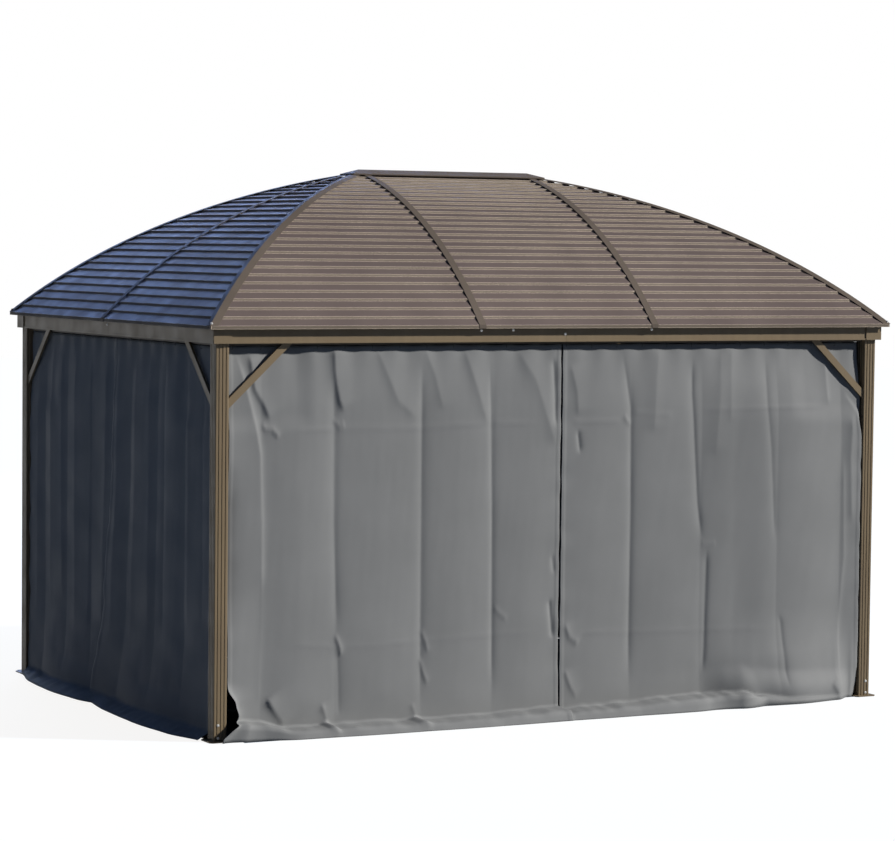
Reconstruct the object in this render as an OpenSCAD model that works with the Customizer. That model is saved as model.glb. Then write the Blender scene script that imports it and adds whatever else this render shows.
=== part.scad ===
// Garden gazebo with a domed, ribbed steel hip roof on four fluted posts,
// and a pair of curtains on each side.
// X runs along the long side, the front faces -Y, Z is up from the ground.

/* [Roof size] */
// Length of the roof over its eaves, along X
roof_w = 4270; // [3600:10:5000]
// Depth of the roof over its eaves, along Y
roof_d = 3000; // [2600:10:3600]
// Clear height under the beams
head_z = 2072; // [1950:1:2400]
// How far the sheets' lower edge lies below the top of the beams
eave_drop = 8; // [0:1:16]
// Length of the ridge between the two points where the hips meet
ridge_len = 1085; // [700:5:1500]
// Slope of the roof at the eaves, in degrees
eave_slope = 47.5; // [42:0.5:56]
// Slope of the roof at the ridge, in degrees
ridge_slope = 11; // [6:0.5:16]
// How far the eaves reach past the beams
overhang = 35; // [25:1:60]

/* [Roof sheets] */
// Length of one rib and its pan, up the slope
rib_pitch = 65; // [50:1:90]
// Height of a rib over its pan
rib_h = 11; // [6:0.5:14]
// Thickness of the roof sheets
sheet_t = 2; // [1.5:0.1:3]
// Drop of the folded edge along the eaves
eave_lip = 5; // [3:0.5:12]
// Gap from a sheet's edge to the line of its hip or rafter
sheet_gap = 4; // [3:0.5:8]

/* [Rafters] */
// Width of the rafters and the ridge beam
rafter_w = 40; // [30:1:50]
// Depth of the rafters and the ridge beam
rafter_h = 40; // [30:1:60]
// Length of a rafter's seat on its beam
rafter_seat = 64; // [50:1:80]
// How far a hub reaches past the place where its rafters meet
hub_edge = 12; // [6:1:20]

/* [Cover strips] */
// Width of the cover strips over the rafters
strip_w = 42; // [36:1:64]
// Width of the folded hip covers, in plan
hip_cover_w = 66; // [56:1:90]
// How far the ridge cover laps over the strips and hip covers
ridge_lap = 15; // [8:1:30]
// Rise of the ridge cover from its edges to its fold
ridge_fold = 26; // [20:1:45]
// Height of the edge folded down round the ridge cover
ridge_edge = 6; // [4:0.5:10]
// How far the fold reaches past the ends of the ridge
ridge_past = 15; // [0:1:40]
// Thickness of the covers
cover_t = 2; // [1.5:0.1:3]

/* [Beams] */
// Height of a beam
beam_h = 88; // [74:1:105]
// How far a beam reaches inwards past its curtain rail
beam_edge = 8; // [4:1:20]
// Wall of a beam
beam_wall = 3; // [2:0.5:5]
// Open seam between the two halves of a beam
beam_seam = 0.8; // [0.5:0.1:0.9]
// Set-back of a beam from the face of the corner blocks
beam_set = 6; // [4:0.5:12]
// Height of the bead along the lower edge of a beam
bead_h = 10; // [6:1:16]
// How far the bead stands out from its beam
bead_t = 3; // [1:0.5:3.5]
// How far a corner block reaches inwards past its post
block_lap = 6; // [3:1:15]
// Corner radius of a corner block
block_r = 4; // [2:0.5:8]

/* [Posts] */
// Width of a post
post_w = 76; // [66:1:90]
// Wall of a post
post_wall = 6; // [5:0.5:8]
// Corner radius of a post
post_r = 6; // [3:0.5:8]
// Inset of a post from the outer face of the corner blocks
post_inset = 24; // [15:1:40]
// Number of flutes on each face of a post
flute_n = 3; // [2:1:3]
// Spacing of the flutes
flute_pitch = 20; // [14:1:22]
// Radius of a flute
flute_r = 3.5; // [3:0.5:5]
// Depth of a flute
flute_depth = 3; // [2:0.5:4]

/* [Feet] */
// Width of a base plate
foot_w = 136; // [128:1:180]
// Thickness of a base plate
foot_t = 6; // [5:0.5:10]
// Cut across each corner of a base plate
foot_cut = 14; // [6:1:18]
// Distance of the anchor holes from the edges of a base plate
anchor_edge = 16; // [14:0.5:18]
// Diameter of an anchor hole
anchor_d = 11; // [8:0.5:12]
// Height of the stub that stands inside the post
stub_h = 60; // [40:1:100]
// Wall of the stub
stub_wall = 3; // [2:0.5:4]

/* [Braces] */
// Reach of a knee brace along the beam
brace_x = 365; // [250:5:450]
// Reach of a knee brace down the post
brace_z = 340; // [250:5:450]
// Width of a knee brace
brace_w = 38; // [30:1:55]
// Thickness of a knee brace
brace_t = 12; // [8:1:24]
// Set-back of a knee brace from the face of its post
brace_set = 10; // [4:1:20]

/* [Curtains] */
// Gap between the knee braces and the folds of the curtains
fold_gap = 3; // [3:0.5:8]
// Depth of the folds from their middle
fold_depth = 8; // [6:1:12]
// Width of one fold
fold_w = 180; // [120:10:260]
// Thickness of a curtain
curtain_t = 4; // [3:0.5:6]
// Height of the hem above the ground
hem_z = 10; // [5:1:40]
// Height of the curtain rails
rail_h = 12; // [8:1:20]
// Width of the curtain rails
rail_w = 20; // [14:1:24]
// Gap from a curtain to its post
curtain_gap = 8; // [5:1:15]
// Gap where two curtains meet
meet_gap = 10; // [6:1:20]

/* [Hidden] */
// Clearance between pieces that seat on one another
seat = 0.4;
// Steps along a smooth roof curve
curve_n = 32;
// Points along one fold of a curtain
fold_n = 8;
// Far enough past the roof to cut right through it
past = 100;
// Half of the flat left along the ridge cover's fold
fold_tip = 0.01;
// One rib, as shares of its length and height: the nose, the foot of the pan
// behind it, and the two bends in the step up to the next nose
RIB = [[0, 1], [0.94, 0], [0.965, 0.3], [0.972, 0.7]];
// Share of a rib by which the underside's steps stand behind those on top
rib_slip = 0.02;

beam_top = head_z + beam_h;
eave_z = beam_top - eave_drop;
run_f = roof_d / 2;
run_s = (roof_w - ridge_len) / 2;
half_ridge = ridge_len / 2;
slope_span = sin(eave_slope) - sin(ridge_slope);
roof_r = run_f / slope_span;
arc_len = roof_r * (eave_slope - ridge_slope) * PI / 180;
rib_n = round(arc_len / rib_pitch);
hip_len = norm([run_s, run_f]);
hip_angle = atan2(run_f, run_s);
// Smaller angle in plan between a hip and the rafter beside it
hip_turn = min(hip_angle, 90 - hip_angle);

frame_w = roof_w - 2 * overhang;
frame_d = roof_d - 2 * overhang;
post_in = post_inset + post_w;
block_w = post_in + block_lap;
post_mid = post_inset + post_w / 2;
stub_w = post_w - 2 * post_wall - 2 * seat;
anchor_pitch = foot_w - 2 * anchor_edge;

hub_r = rafter_w / 2 * (1 + cos(hip_turn)) / sin(hip_turn) + hub_edge;
strip_end = (hip_cover_w / 2 + strip_w / 2 * cos(hip_turn)) / sin(hip_turn) + sheet_gap;
ridge_cover_w = strip_end + ridge_lap;

strip_lift = rib_h + sheet_t + seat;
ridge_lift = strip_lift + cover_t + seat;
brace_back = post_inset + brace_set + brace_t;
curtain_set = brace_back + fold_gap + fold_depth + curtain_t / 2;
beam_w = curtain_set + rail_w / 2 + beam_edge - beam_set;
rail_z = head_z - rail_h;
curtain_top = rail_z - seat;

roof_colour = "#6b5a50";
strip_colour = "#75695c";
frame_colour = "#7a6a50";
rail_colour = "#463f38";
cloth_colour = "#808282";

// The roof's curve: an arc from the eave slope to the ridge slope.
// q is the share of the arc from the eave, share is the same place in plan.
function tilt(q) = eave_slope - q * (eave_slope - ridge_slope);
function share(q) = (sin(eave_slope) - sin(tilt(q))) / slope_span;
function rise(q) = eave_z + roof_r * (cos(tilt(q)) - cos(eave_slope));
function rise_at(s) = eave_z
    + roof_r * (cos(asin(sin(eave_slope) - s * slope_span)) - cos(eave_slope));
function backwards(list) = [for (i = [len(list) - 1 : -1 : 0]) list[i]];

// Points of a smooth slope that climbs towards the ridge, lifted above the curve
function slope_points(run, lift) = [
    for (i = [0 : curve_n])
        [-run * (1 - share(i / curve_n)), rise(i / curve_n) + lift]
];

// Points of a ribbed slope, its ribs moved up the slope by a share of a rib
function rib_points(run, lift, slip) = concat(
    [for (k = [0 : rib_n - 1], p = RIB)
        let (q = (k + p[0] + slip) / rib_n)
        [-run * (1 - share(q)), rise(q) + p[1] * rib_h + lift]],
    [[0, rise(1) + lift]]
);

// A section in Y and Z, drawn out along X
module along_x(length) {
    rotate([90, 0, 90])
        translate([0, 0, -length / 2])
            linear_extrude(length) children();
}

// What stands on the front of the frame, carried to the left side
module on_left() {
    translate([-half_ridge, 0, 0]) rotate([0, 0, -90]) children();
}

// What stands at the front left, carried to another corner
module to_corner(sx, sy) {
    mirror([sx > 0 ? 1 : 0, 0, 0]) mirror([0, sy > 0 ? 1 : 0, 0]) children();
}

// The space under one slope, of a given width
module under_slope(run, lift, width) {
    along_x(width)
        polygon(concat(slope_points(run, lift), [[0, 0], [-run, 0]]));
}

// The space under the front and left slopes, which meet at their hip
module under_hip(lift) {
    intersection() {
        under_slope(run_f, lift, 2 * roof_w);
        on_left() under_slope(run_s, lift, 2 * roof_d);
    }
}

// A band in plan along the front left hip, from one distance off the ridge to another
module hip_band(width, near, far) {
    translate([-half_ridge, 0, 0]) rotate([0, 0, hip_angle - 180])
        translate([near, -width / 2, 0]) cube([far - near, width, 2 * eave_z]);
}

// One ribbed sheet's slope, with its folded edge along the eave
module ribbed_slope(run, width) {
    edge = [[-run, eave_z - eave_lip]];
    inner = [[-run + sheet_t, eave_z - eave_lip], [-run + sheet_t, eave_z + rib_h]];
    top = rib_points(run, sheet_t, 0);
    low = rib_points(run, 0, rib_slip);
    under = [for (p = backwards(low)) if (p[0] > -run + sheet_t) p];
    along_x(width)
        polygon(concat(edge, top, under, backwards(inner)));
}

// A sheet between the left hip and the strip beside it, on the front slope
// or, with the runs changed over, on a side slope
module corner_sheet(run, other, middle) {
    hip_gap = sheet_gap * hip_len / run;
    foot_y = run + past;
    tip_y = (hip_gap + sheet_gap) * run / other;
    color(roof_colour)
    intersection() {
        ribbed_slope(run, 2 * (middle + other));
        linear_extrude(2 * eave_z)
            polygon([
                [hip_gap - middle - other * foot_y / run, -foot_y],
                [-middle - sheet_gap, -foot_y],
                [-middle - sheet_gap, -tip_y]
            ]);
    }
}

// The straight sheet between the two strips of a long side
module middle_sheet() {
    color(roof_colour)
    intersection() {
        ribbed_slope(run_f, ridge_len - 2 * sheet_gap);
        translate([-half_ridge, -run_f - past, 0])
            cube([ridge_len, run_f + past - sheet_gap, 2 * eave_z]);
    }
}

// A rafter up one slope, seated on its beam and ending at its hub
module rafter(run) {
    seat_y = run - overhang - beam_set;
    difference() {
        intersection() {
            under_slope(run, -seat, rafter_w);
            translate([-rafter_w / 2, -seat_y, beam_top])
                cube([rafter_w, seat_y, 2 * eave_z]);
        }
        intersection() {
            under_slope(run, -rafter_h, 2 * rafter_w);
            translate([-rafter_w, rafter_seat - seat_y, 0])
                cube([2 * rafter_w, seat_y, 2 * eave_z]);
        }
        cylinder(r = hub_r, h = 2 * eave_z);
    }
}

// The two rafters of a long side, under the ends of the middle sheet
module long_rafters() {
    color(frame_colour)
    for (sx = [-1, 1])
        translate([sx * half_ridge, 0, 0]) rafter(run_f);
}

// A rafter under a hip, with a folded top that follows both slopes
module hip_rafter() {
    seat_far = norm([run_s - overhang, run_f - overhang]);
    color(frame_colour)
    difference() {
        intersection() {
            under_hip(-seat);
            hip_band(rafter_w, 0, hip_len);
            translate([-frame_w / 2, -frame_d / 2, beam_top])
                cube([frame_w, frame_d, 2 * eave_z]);
        }
        intersection() {
            under_hip(-rafter_h);
            hip_band(2 * rafter_w, 0, seat_far - rafter_seat - rafter_w);
        }
        translate([-half_ridge, 0, 0]) cylinder(r = hub_r, h = 2 * eave_z);
    }
}

// The bar under the ridge and a round hub at each end, as one weldment
module ridge_beam() {
    top = rise_at(1 - hub_r / run_f) - seat;
    color(frame_colour)
    translate([0, 0, top - rafter_h]) {
        translate([-half_ridge, -rafter_w / 2, 0]) cube([ridge_len, rafter_w, rafter_h]);
        for (sx = [-1, 1])
            translate([sx * half_ridge, 0, 0]) cylinder(r = hub_r, h = rafter_h);
    }
}

// A cover strip over a rafter, folded down over the eave
module strip(run) {
    color(strip_colour)
    union() {
        intersection() {
            along_x(strip_w)
                polygon(concat(slope_points(run, strip_lift),
                    backwards(slope_points(run, strip_lift + cover_t))));
            translate([-strip_w, -run, 0])
                cube([2 * strip_w, run - strip_end, 2 * eave_z]);
        }
        translate([-strip_w / 2, -run - cover_t, eave_z - eave_lip])
            cube([strip_w, cover_t, eave_lip + strip_lift + cover_t]);
    }
}

// The two cover strips of a long side
module long_strips() {
    for (sx = [-1, 1])
        translate([sx * half_ridge, 0, 0]) strip(run_f);
}

// A folded cover along a hip
module hip_cover() {
    color(strip_colour)
    intersection() {
        difference() {
            under_hip(strip_lift + cover_t);
            under_hip(strip_lift);
        }
        hip_band(hip_cover_w, strip_end, hip_len + past);
    }
}

// Section of the ridge cover, with a flat top of a given half width
module fold_outline(flat, half, low, high) {
    polygon([[-half, -past], [-half, low], [-flat, high], [flat, high], [half, low], [half, -past]]);
}

// The space under the ridge cover's folded faces, drawn in from them by a thickness
module under_fold(inset) {
    half = half_ridge + ridge_cover_w - inset;
    low = ridge_edge - inset;
    high = low + ridge_fold;
    intersection() {
        along_x(2 * half) fold_outline(fold_tip, ridge_cover_w - inset, low, high);
        rotate(90) along_x(2 * ridge_cover_w)
            fold_outline(half_ridge + ridge_past, half, low, high);
    }
}

// The folded cover along the ridge, hipped at both ends
module ridge_cover() {
    edge_z = rise_at(1 - ridge_cover_w / max(run_f, run_s)) + ridge_lift;
    color(strip_colour)
    translate([0, 0, edge_z])
        difference() {
            under_fold(0);
            under_fold(cover_t);
            translate([-roof_w / 2, -roof_d / 2, -2 * past]) cube([roof_w, roof_d, 2 * past]);
        }
}

// Section of a hollow beam, with a bead along its lower outer edge
module beam_outline() {
    difference() {
        union() {
            square([beam_w, beam_h]);
            translate([-bead_t, 0]) square([bead_t + beam_wall, bead_h]);
        }
        translate([beam_wall, beam_wall]) square([beam_w - 2 * beam_wall, beam_h - 2 * beam_wall]);
    }
}

// A beam along the front, in two halves between its corner blocks
module beam(length, depth) {
    half = length / 2 - block_w - beam_seam / 2;
    color(frame_colour)
    for (sx = [-1, 1])
        translate([sx * (beam_seam + half) / 2, beam_set - depth / 2, head_z])
            along_x(half) beam_outline();
}

// The block over the front left post, which joins two beams
module block() {
    color(frame_colour)
    translate([-frame_w / 2, -frame_d / 2, head_z])
        linear_extrude(beam_h)
            union() {
                translate([block_r, 0]) square([block_w - block_r, block_w]);
                translate([0, block_r]) square([block_w, block_w - block_r]);
                translate([block_r, block_r]) circle(r = block_r, $fn = 32);
            }
}

// Outline of a fluted post, centred
module post_outline() {
    flute_out = flute_r - flute_depth;
    difference() {
        union() {
            square([post_w, post_w - 2 * post_r], center = true);
            square([post_w - 2 * post_r, post_w], center = true);
            for (sx = [-1, 1], sy = [-1, 1])
                translate([sx * (post_w / 2 - post_r), sy * (post_w / 2 - post_r)])
                    circle(r = post_r, $fn = 32);
        }
        for (turn = [0 : 90 : 270], i = [0 : flute_n - 1])
            rotate(turn)
                translate([(i - (flute_n - 1) / 2) * flute_pitch, post_w / 2 + flute_out])
                    circle(r = flute_r, $fn = 32);
        square(post_w - 2 * post_wall, center = true);
    }
}

// The post at the front left corner
module post() {
    color(frame_colour)
    translate([post_mid - frame_w / 2, post_mid - frame_d / 2, foot_t])
        linear_extrude(head_z - foot_t) post_outline();
}

// Outline of a base plate with its corners cut
module foot_outline() {
    half = foot_w / 2;
    cut = half - foot_cut;
    polygon([[-half, -cut], [-cut, -half], [cut, -half], [half, -cut],
        [half, cut], [cut, half], [-cut, half], [-half, cut]]);
}

// The base plate at the front left corner, with anchor holes and a stub for the post
module foot() {
    color(frame_colour)
    translate([post_mid - frame_w / 2, post_mid - frame_d / 2, 0])
        difference() {
            union() {
                linear_extrude(foot_t) foot_outline();
                translate([-stub_w / 2, -stub_w / 2, 0]) cube([stub_w, stub_w, foot_t + stub_h]);
            }
            translate([-stub_w / 2 + stub_wall, -stub_w / 2 + stub_wall, foot_t])
                cube([stub_w - 2 * stub_wall, stub_w - 2 * stub_wall, 2 * stub_h]);
            for (sx = [-1, 1], sy = [-1, 1])
                translate([sx * anchor_pitch / 2, sy * anchor_pitch / 2, -foot_t])
                    cylinder(d = anchor_d, h = 3 * foot_t, $fn = 32);
        }
}

// One knee brace, from the side of a post up to the beam, lying along X
module brace() {
    slant = norm([brace_x, brace_z]);
    rotate([90, 0, 0])
        translate([0, 0, -brace_t])
            linear_extrude(brace_t)
                polygon([
                    [0, -brace_z],
                    [0, brace_w * slant / brace_x - brace_z],
                    [brace_x - brace_w * slant / brace_z, 0],
                    [brace_x, 0]
                ]);
}

// The two knee braces of the front left post
module braces() {
    color(frame_colour)
    translate([-frame_w / 2, -frame_d / 2, head_z]) {
        translate([post_in, post_inset + brace_set, 0]) brace();
        translate([post_inset + brace_set, post_in, 0]) mirror([1, -1, 0]) brace();
    }
}

// The four curtain rails, under the beams and between the posts
module curtain_rails() {
    long = frame_w - 2 * post_in;
    short = frame_d - 2 * post_in;
    color(rail_colour)
    for (turn = [0, 180])
        rotate(turn) {
            translate([-long / 2, curtain_set - rail_w / 2 - frame_d / 2, rail_z])
                cube([long, rail_w, rail_h]);
            translate([curtain_set - rail_w / 2 - frame_w / 2, -short / 2, rail_z])
                cube([rail_w, short, rail_h]);
        }
}

// The left curtain of the front, or of a side whose length and depth are changed over
module curtain(length, depth) {
    width = length / 2 - post_in - curtain_gap - meet_gap / 2;
    steps = round(width / fold_w) * fold_n;
    line = [for (i = [0 : steps]) [i * width / steps, fold_depth * sin(360 * i / fold_n)]];
    color(cloth_colour)
    translate([-meet_gap / 2 - width, curtain_set - depth / 2, hem_z])
        linear_extrude(curtain_top - hem_z)
            polygon(concat([for (p = line) [p[0], p[1] - curtain_t / 2]],
                backwards([for (p = line) [p[0], p[1] + curtain_t / 2]])));
}

to_corner(-1, -1) foot();  // front_left_foot
to_corner(1, -1) foot();  // front_right_foot
to_corner(-1, 1) foot();  // back_left_foot
to_corner(1, 1) foot();  // back_right_foot

to_corner(-1, -1) post();  // front_left_post
to_corner(1, -1) post();  // front_right_post
to_corner(-1, 1) post();  // back_left_post
to_corner(1, 1) post();  // back_right_post

to_corner(-1, -1) block();  // front_left_block
to_corner(1, -1) block();  // front_right_block
to_corner(-1, 1) block();  // back_left_block
to_corner(1, 1) block();  // back_right_block

beam(frame_w, frame_d);  // front_beam
rotate(180) beam(frame_w, frame_d);  // back_beam
rotate(-90) beam(frame_d, frame_w);  // left_beam
rotate(90) beam(frame_d, frame_w);  // right_beam

to_corner(-1, -1) braces();  // front_left_braces
to_corner(1, -1) braces();  // front_right_braces
to_corner(-1, 1) braces();  // back_left_braces
to_corner(1, 1) braces();  // back_right_braces

curtain_rails();

to_corner(-1, -1) hip_rafter();  // front_left_hip_rafter
to_corner(1, -1) hip_rafter();  // front_right_hip_rafter
to_corner(-1, 1) hip_rafter();  // back_left_hip_rafter
to_corner(1, 1) hip_rafter();  // back_right_hip_rafter
long_rafters();  // front_rafters
rotate(180) long_rafters();  // back_rafters
on_left() color(frame_colour) rafter(run_s);  // left_rafter
rotate(180) on_left() color(frame_colour) rafter(run_s);  // right_rafter
ridge_beam();

to_corner(-1, -1) corner_sheet(run_f, run_s, half_ridge);  // front_left_sheet
to_corner(1, -1) corner_sheet(run_f, run_s, half_ridge);  // front_right_sheet
to_corner(-1, 1) corner_sheet(run_f, run_s, half_ridge);  // back_left_sheet
to_corner(1, 1) corner_sheet(run_f, run_s, half_ridge);  // back_right_sheet
middle_sheet();  // front_middle_sheet
rotate(180) middle_sheet();  // back_middle_sheet
to_corner(-1, -1) on_left() corner_sheet(run_s, run_f, 0);  // left_back_sheet
to_corner(-1, 1) on_left() corner_sheet(run_s, run_f, 0);  // left_front_sheet
to_corner(1, -1) on_left() corner_sheet(run_s, run_f, 0);  // right_back_sheet
to_corner(1, 1) on_left() corner_sheet(run_s, run_f, 0);  // right_front_sheet

to_corner(-1, -1) hip_cover();  // front_left_hip_cover
to_corner(1, -1) hip_cover();  // front_right_hip_cover
to_corner(-1, 1) hip_cover();  // back_left_hip_cover
to_corner(1, 1) hip_cover();  // back_right_hip_cover
long_strips();  // front_strips
rotate(180) long_strips();  // back_strips
on_left() strip(run_s);  // left_strip
rotate(180) on_left() strip(run_s);  // right_strip
ridge_cover();

to_corner(-1, -1) curtain(frame_w, frame_d);  // front_left_curtain
to_corner(1, -1) curtain(frame_w, frame_d);  // front_right_curtain
to_corner(-1, 1) curtain(frame_w, frame_d);  // back_left_curtain
to_corner(1, 1) curtain(frame_w, frame_d);  // back_right_curtain
to_corner(-1, -1) rotate(-90) curtain(frame_d, frame_w);  // left_back_curtain
to_corner(-1, 1) rotate(-90) curtain(frame_d, frame_w);  // left_front_curtain
to_corner(1, -1) rotate(-90) curtain(frame_d, frame_w);  // right_back_curtain
to_corner(1, 1) rotate(-90) curtain(frame_d, frame_w);  // right_front_curtain
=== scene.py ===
import math
import bmesh
import bpy
import numpy as np
from mathutils import Matrix, Vector


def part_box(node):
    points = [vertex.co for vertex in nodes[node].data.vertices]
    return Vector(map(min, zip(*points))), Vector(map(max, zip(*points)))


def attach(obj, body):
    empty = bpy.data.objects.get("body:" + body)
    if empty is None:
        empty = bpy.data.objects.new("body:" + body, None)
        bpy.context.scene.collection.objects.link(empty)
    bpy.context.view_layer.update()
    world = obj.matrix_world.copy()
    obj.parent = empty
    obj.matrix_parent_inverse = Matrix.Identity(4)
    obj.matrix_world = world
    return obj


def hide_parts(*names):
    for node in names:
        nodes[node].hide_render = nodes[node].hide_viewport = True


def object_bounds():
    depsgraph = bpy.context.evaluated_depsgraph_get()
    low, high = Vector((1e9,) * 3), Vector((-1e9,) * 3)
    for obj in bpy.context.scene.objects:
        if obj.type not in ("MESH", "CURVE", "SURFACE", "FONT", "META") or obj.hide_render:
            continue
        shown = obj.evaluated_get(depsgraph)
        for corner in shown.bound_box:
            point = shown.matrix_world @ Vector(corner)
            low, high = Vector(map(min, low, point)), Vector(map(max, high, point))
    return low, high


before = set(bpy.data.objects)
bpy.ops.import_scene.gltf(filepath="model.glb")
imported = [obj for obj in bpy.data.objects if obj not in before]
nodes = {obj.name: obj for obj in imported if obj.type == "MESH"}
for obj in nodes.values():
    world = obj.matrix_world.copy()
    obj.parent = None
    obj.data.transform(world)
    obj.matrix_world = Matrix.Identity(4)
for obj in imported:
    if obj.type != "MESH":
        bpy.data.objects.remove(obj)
cadLow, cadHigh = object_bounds()


# camera: long lens from the front left, turned a touch anticlockwise
cameraSet = {
    "place": (-8.4506, -16.0126, 2.5970),
    "yaw": 0.48774, "pitch": -0.05723, "roll": 0.01095,
    "lens": 123.84, "sensor": 36.0, "clip": (0.5, 200),
}


def makeCamera(c):
    ahead = Vector((
        math.sin(c["yaw"]) * math.cos(c["pitch"]),
        math.cos(c["yaw"]) * math.cos(c["pitch"]),
        math.sin(c["pitch"]),
    ))
    right = Vector((math.cos(c["yaw"]), -math.sin(c["yaw"]), 0))
    up = right.cross(ahead)
    cosR, sinR = math.cos(c["roll"]), math.sin(c["roll"])
    across = right * cosR + up * sinR
    upward = up * cosR - right * sinR
    data = bpy.data.cameras.new("main camera")
    data.lens, data.sensor_width = c["lens"], c["sensor"]
    data.clip_start, data.clip_end = c["clip"]
    cam = bpy.data.objects.new("main camera", data)
    turn = Matrix((across, upward, -ahead)).transposed().to_4x4()
    cam.matrix_world = Matrix.Translation(c["place"]) @ turn
    bpy.context.scene.collection.objects.link(cam)
    bpy.context.scene.camera = cam


makeCamera(cameraSet)
print("camera placed")


# materials

def startMaterial(name):
    mat = bpy.data.materials.new(name)
    mat.use_nodes = True
    return mat, mat.node_tree.nodes, mat.node_tree.links, mat.node_tree.nodes["Principled BSDF"]


def noiseNode(nodeSet, links, coords, scale, detail=3.0, stretch=None):
    if stretch:
        mapping = nodeSet.new("ShaderNodeMapping")
        mapping.inputs["Scale"].default_value = stretch
        links.new(coords, mapping.inputs["Vector"])
        coords = mapping.outputs["Vector"]
    tex = nodeSet.new("ShaderNodeTexNoise")
    tex.inputs["Scale"].default_value = scale
    tex.inputs["Detail"].default_value = detail
    links.new(coords, tex.inputs["Vector"])
    return tex.outputs["Fac"]


def rampNode(nodeSet, links, value, stops):
    stops = list(stops)
    ramp = nodeSet.new("ShaderNodeValToRGB")
    while len(ramp.color_ramp.elements) < len(stops):
        ramp.color_ramp.elements.new(0.5)
    for element, (at, colour) in zip(ramp.color_ramp.elements, stops):
        element.position = at
        element.color = (*colour, 1)
    links.new(value, ramp.inputs["Fac"])
    return ramp.outputs["Color"]


def greys(*levels):
    return [(level, level, level) for level in levels]


def bumpNode(nodeSet, links, value, strength, distance, after=None):
    bump = nodeSet.new("ShaderNodeBump")
    bump.inputs["Strength"].default_value = strength
    bump.inputs["Distance"].default_value = distance
    links.new(value, bump.inputs["Height"])
    if after:
        links.new(after, bump.inputs["Normal"])
    return bump.outputs["Normal"]


def multiply(nodeSet, links, first, second):
    mix = nodeSet.new("ShaderNodeMix")
    mix.data_type, mix.blend_type = "RGBA", "MULTIPLY"
    mix.inputs["Factor"].default_value = 1.0
    links.new(first, mix.inputs["A"])
    links.new(second, mix.inputs["B"])
    return mix.outputs["Result"]


# baked enamel on steel: blotches, rain streaks and fine orange peel
enamelSet = {
    "blotch": 1.7, "blotchStops": (0.3, 0.52, 0.75),
    "streakStops": (0.35, 0.6, 0.8), "streakShades": (0.93, 1.0, 1.04),
    "sheen": 9.0, "sheenStops": (0.3, 0.7), "sheenSpread": (-0.06, 0.08),
    "peel": 420.0, "peelStrength": 0.12, "peelHigh": 0.0006,
}
# paint runs from dark to light
enamels = {
    "bronze frame enamel": {
        "paint": ((0.174, 0.129, 0.077), (0.197, 0.147, 0.086), (0.222, 0.166, 0.098)),
        "rough": 0.42, "shine": 0.30, "streak": (22, 22, 0.9),
    },
    "brown roof enamel": {
        "paint": ((0.130, 0.101, 0.092), (0.143, 0.112, 0.101), (0.158, 0.124, 0.112)),
        "rough": 0.48, "shine": 0.15, "streak": (5, 5, 1.4),
        # the last two entries lighten the paint on the ribs' steep noses and along their bends: painted
        # highlight
        "noseLight": (1.30, 1.38, 1.20), "bendGlint": 4.4,
    },
    "brown cover enamel": {
        "paint": ((0.118, 0.096, 0.077), (0.132, 0.107, 0.086), (0.146, 0.119, 0.096)),
        "rough": 0.50, "shine": 0.07, "streak": (6, 6, 1.2),
    },
}
# slope: upward part of the normal from steep to flat, where the steep noses get painted highlight; bend:
# agreement of the normals across it, where the bends get painted highlight
noseLightSet = {"slope": (0.42, 0.62), "dull": 0.04, "bendRadius": 0.0042, "bend": (0.90, 0.995)}


# the steep noses of the ribs are painted lighter and given less shine, and their bends are painted with
# bright lines: painted highlight for the light they catch
def paintNoseLight(nodeSet, links, shader, colour, c):
    facing = nodeSet.new("ShaderNodeNewGeometry").outputs["True Normal"]
    split = nodeSet.new("ShaderNodeSeparateXYZ")
    links.new(facing, split.inputs[0])
    upward = split.outputs["Z"]
    # the steep noses are painted lighter: painted highlight
    noseLight = [c["noseLight"], *greys(1.0)]
    slope = rampNode(nodeSet, links, upward, zip(noseLightSet["slope"], noseLight))
    colour = multiply(nodeSet, links, colour, slope)
    dulled = greys(noseLightSet["dull"], c["shine"])
    dull = rampNode(nodeSet, links, upward, zip(noseLightSet["slope"], dulled))
    links.new(dull, shader.inputs["Specular IOR Level"])
    rounded = nodeSet.new("ShaderNodeBevel")
    rounded.inputs["Radius"].default_value = noseLightSet["bendRadius"]
    turn = nodeSet.new("ShaderNodeVectorMath")
    turn.operation = "DOT_PRODUCT"
    links.new(rounded.outputs["Normal"], turn.inputs[0])
    links.new(facing, turn.inputs[1])
    # the bends are painted with bright lines: painted highlight standing in for glints
    bendGlint = greys(c["bendGlint"], 1.0)
    glintLines = rampNode(nodeSet, links, turn.outputs["Value"], zip(noseLightSet["bend"], bendGlint))
    return multiply(nodeSet, links, colour, glintLines)


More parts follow.
